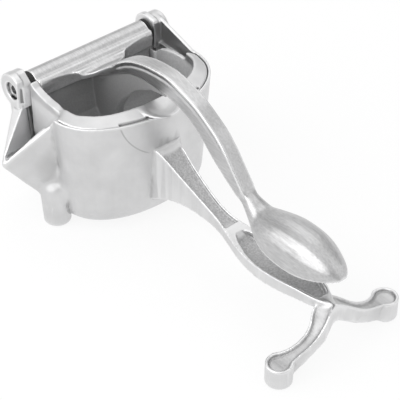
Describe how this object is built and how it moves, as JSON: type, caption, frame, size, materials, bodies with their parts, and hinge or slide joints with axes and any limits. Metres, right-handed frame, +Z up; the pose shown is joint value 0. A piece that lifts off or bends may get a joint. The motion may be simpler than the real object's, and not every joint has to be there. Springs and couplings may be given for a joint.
{
  "type": "hinged hand lemon squeezer",
  "caption": "Hand lemon squeezer of cast aluminium: deep bowl with a side beak, lift-out strainer, hinged arched lever with a spoon grip over a forked lower handle.",
  "frame": {"origin": "middle of the overall length and width, on the surface that the pegs and toes stand on", "axes": "+X from the hinge towards the forked foot, +Y along the hinge away from the beak, +Z up"},
  "size_m": [0.2352, 0.1342, 0.1081],
  "materials": {
    "cast_body": "satin",
    "cast_strainer": "satin",
    "cast_lever": "polished",
    "steel_hardware": "satin",
    "washer_black": "matte"
  },
  "bodies": {
    "base": {"base_casting": "cast_body", "strainer_basket": "cast_strainer", "hinge_shaft": "steel_hardware", "hinge_screw_left": "steel_hardware", "hinge_screw_right": "steel_hardware", "thrust_washer_left": "washer_black", "thrust_washer_right": "washer_black"},
    "lever": {"lever_casting": "cast_lever"}
  },
  "joints": [
    {"name": "lever_hinge", "type": "hinge", "parent": "base", "child": "lever", "pos_m": [-0.10662, 0.01135, 0.078], "axis": [0, -1, 0], "range_deg": [0, 180]}
  ]
}
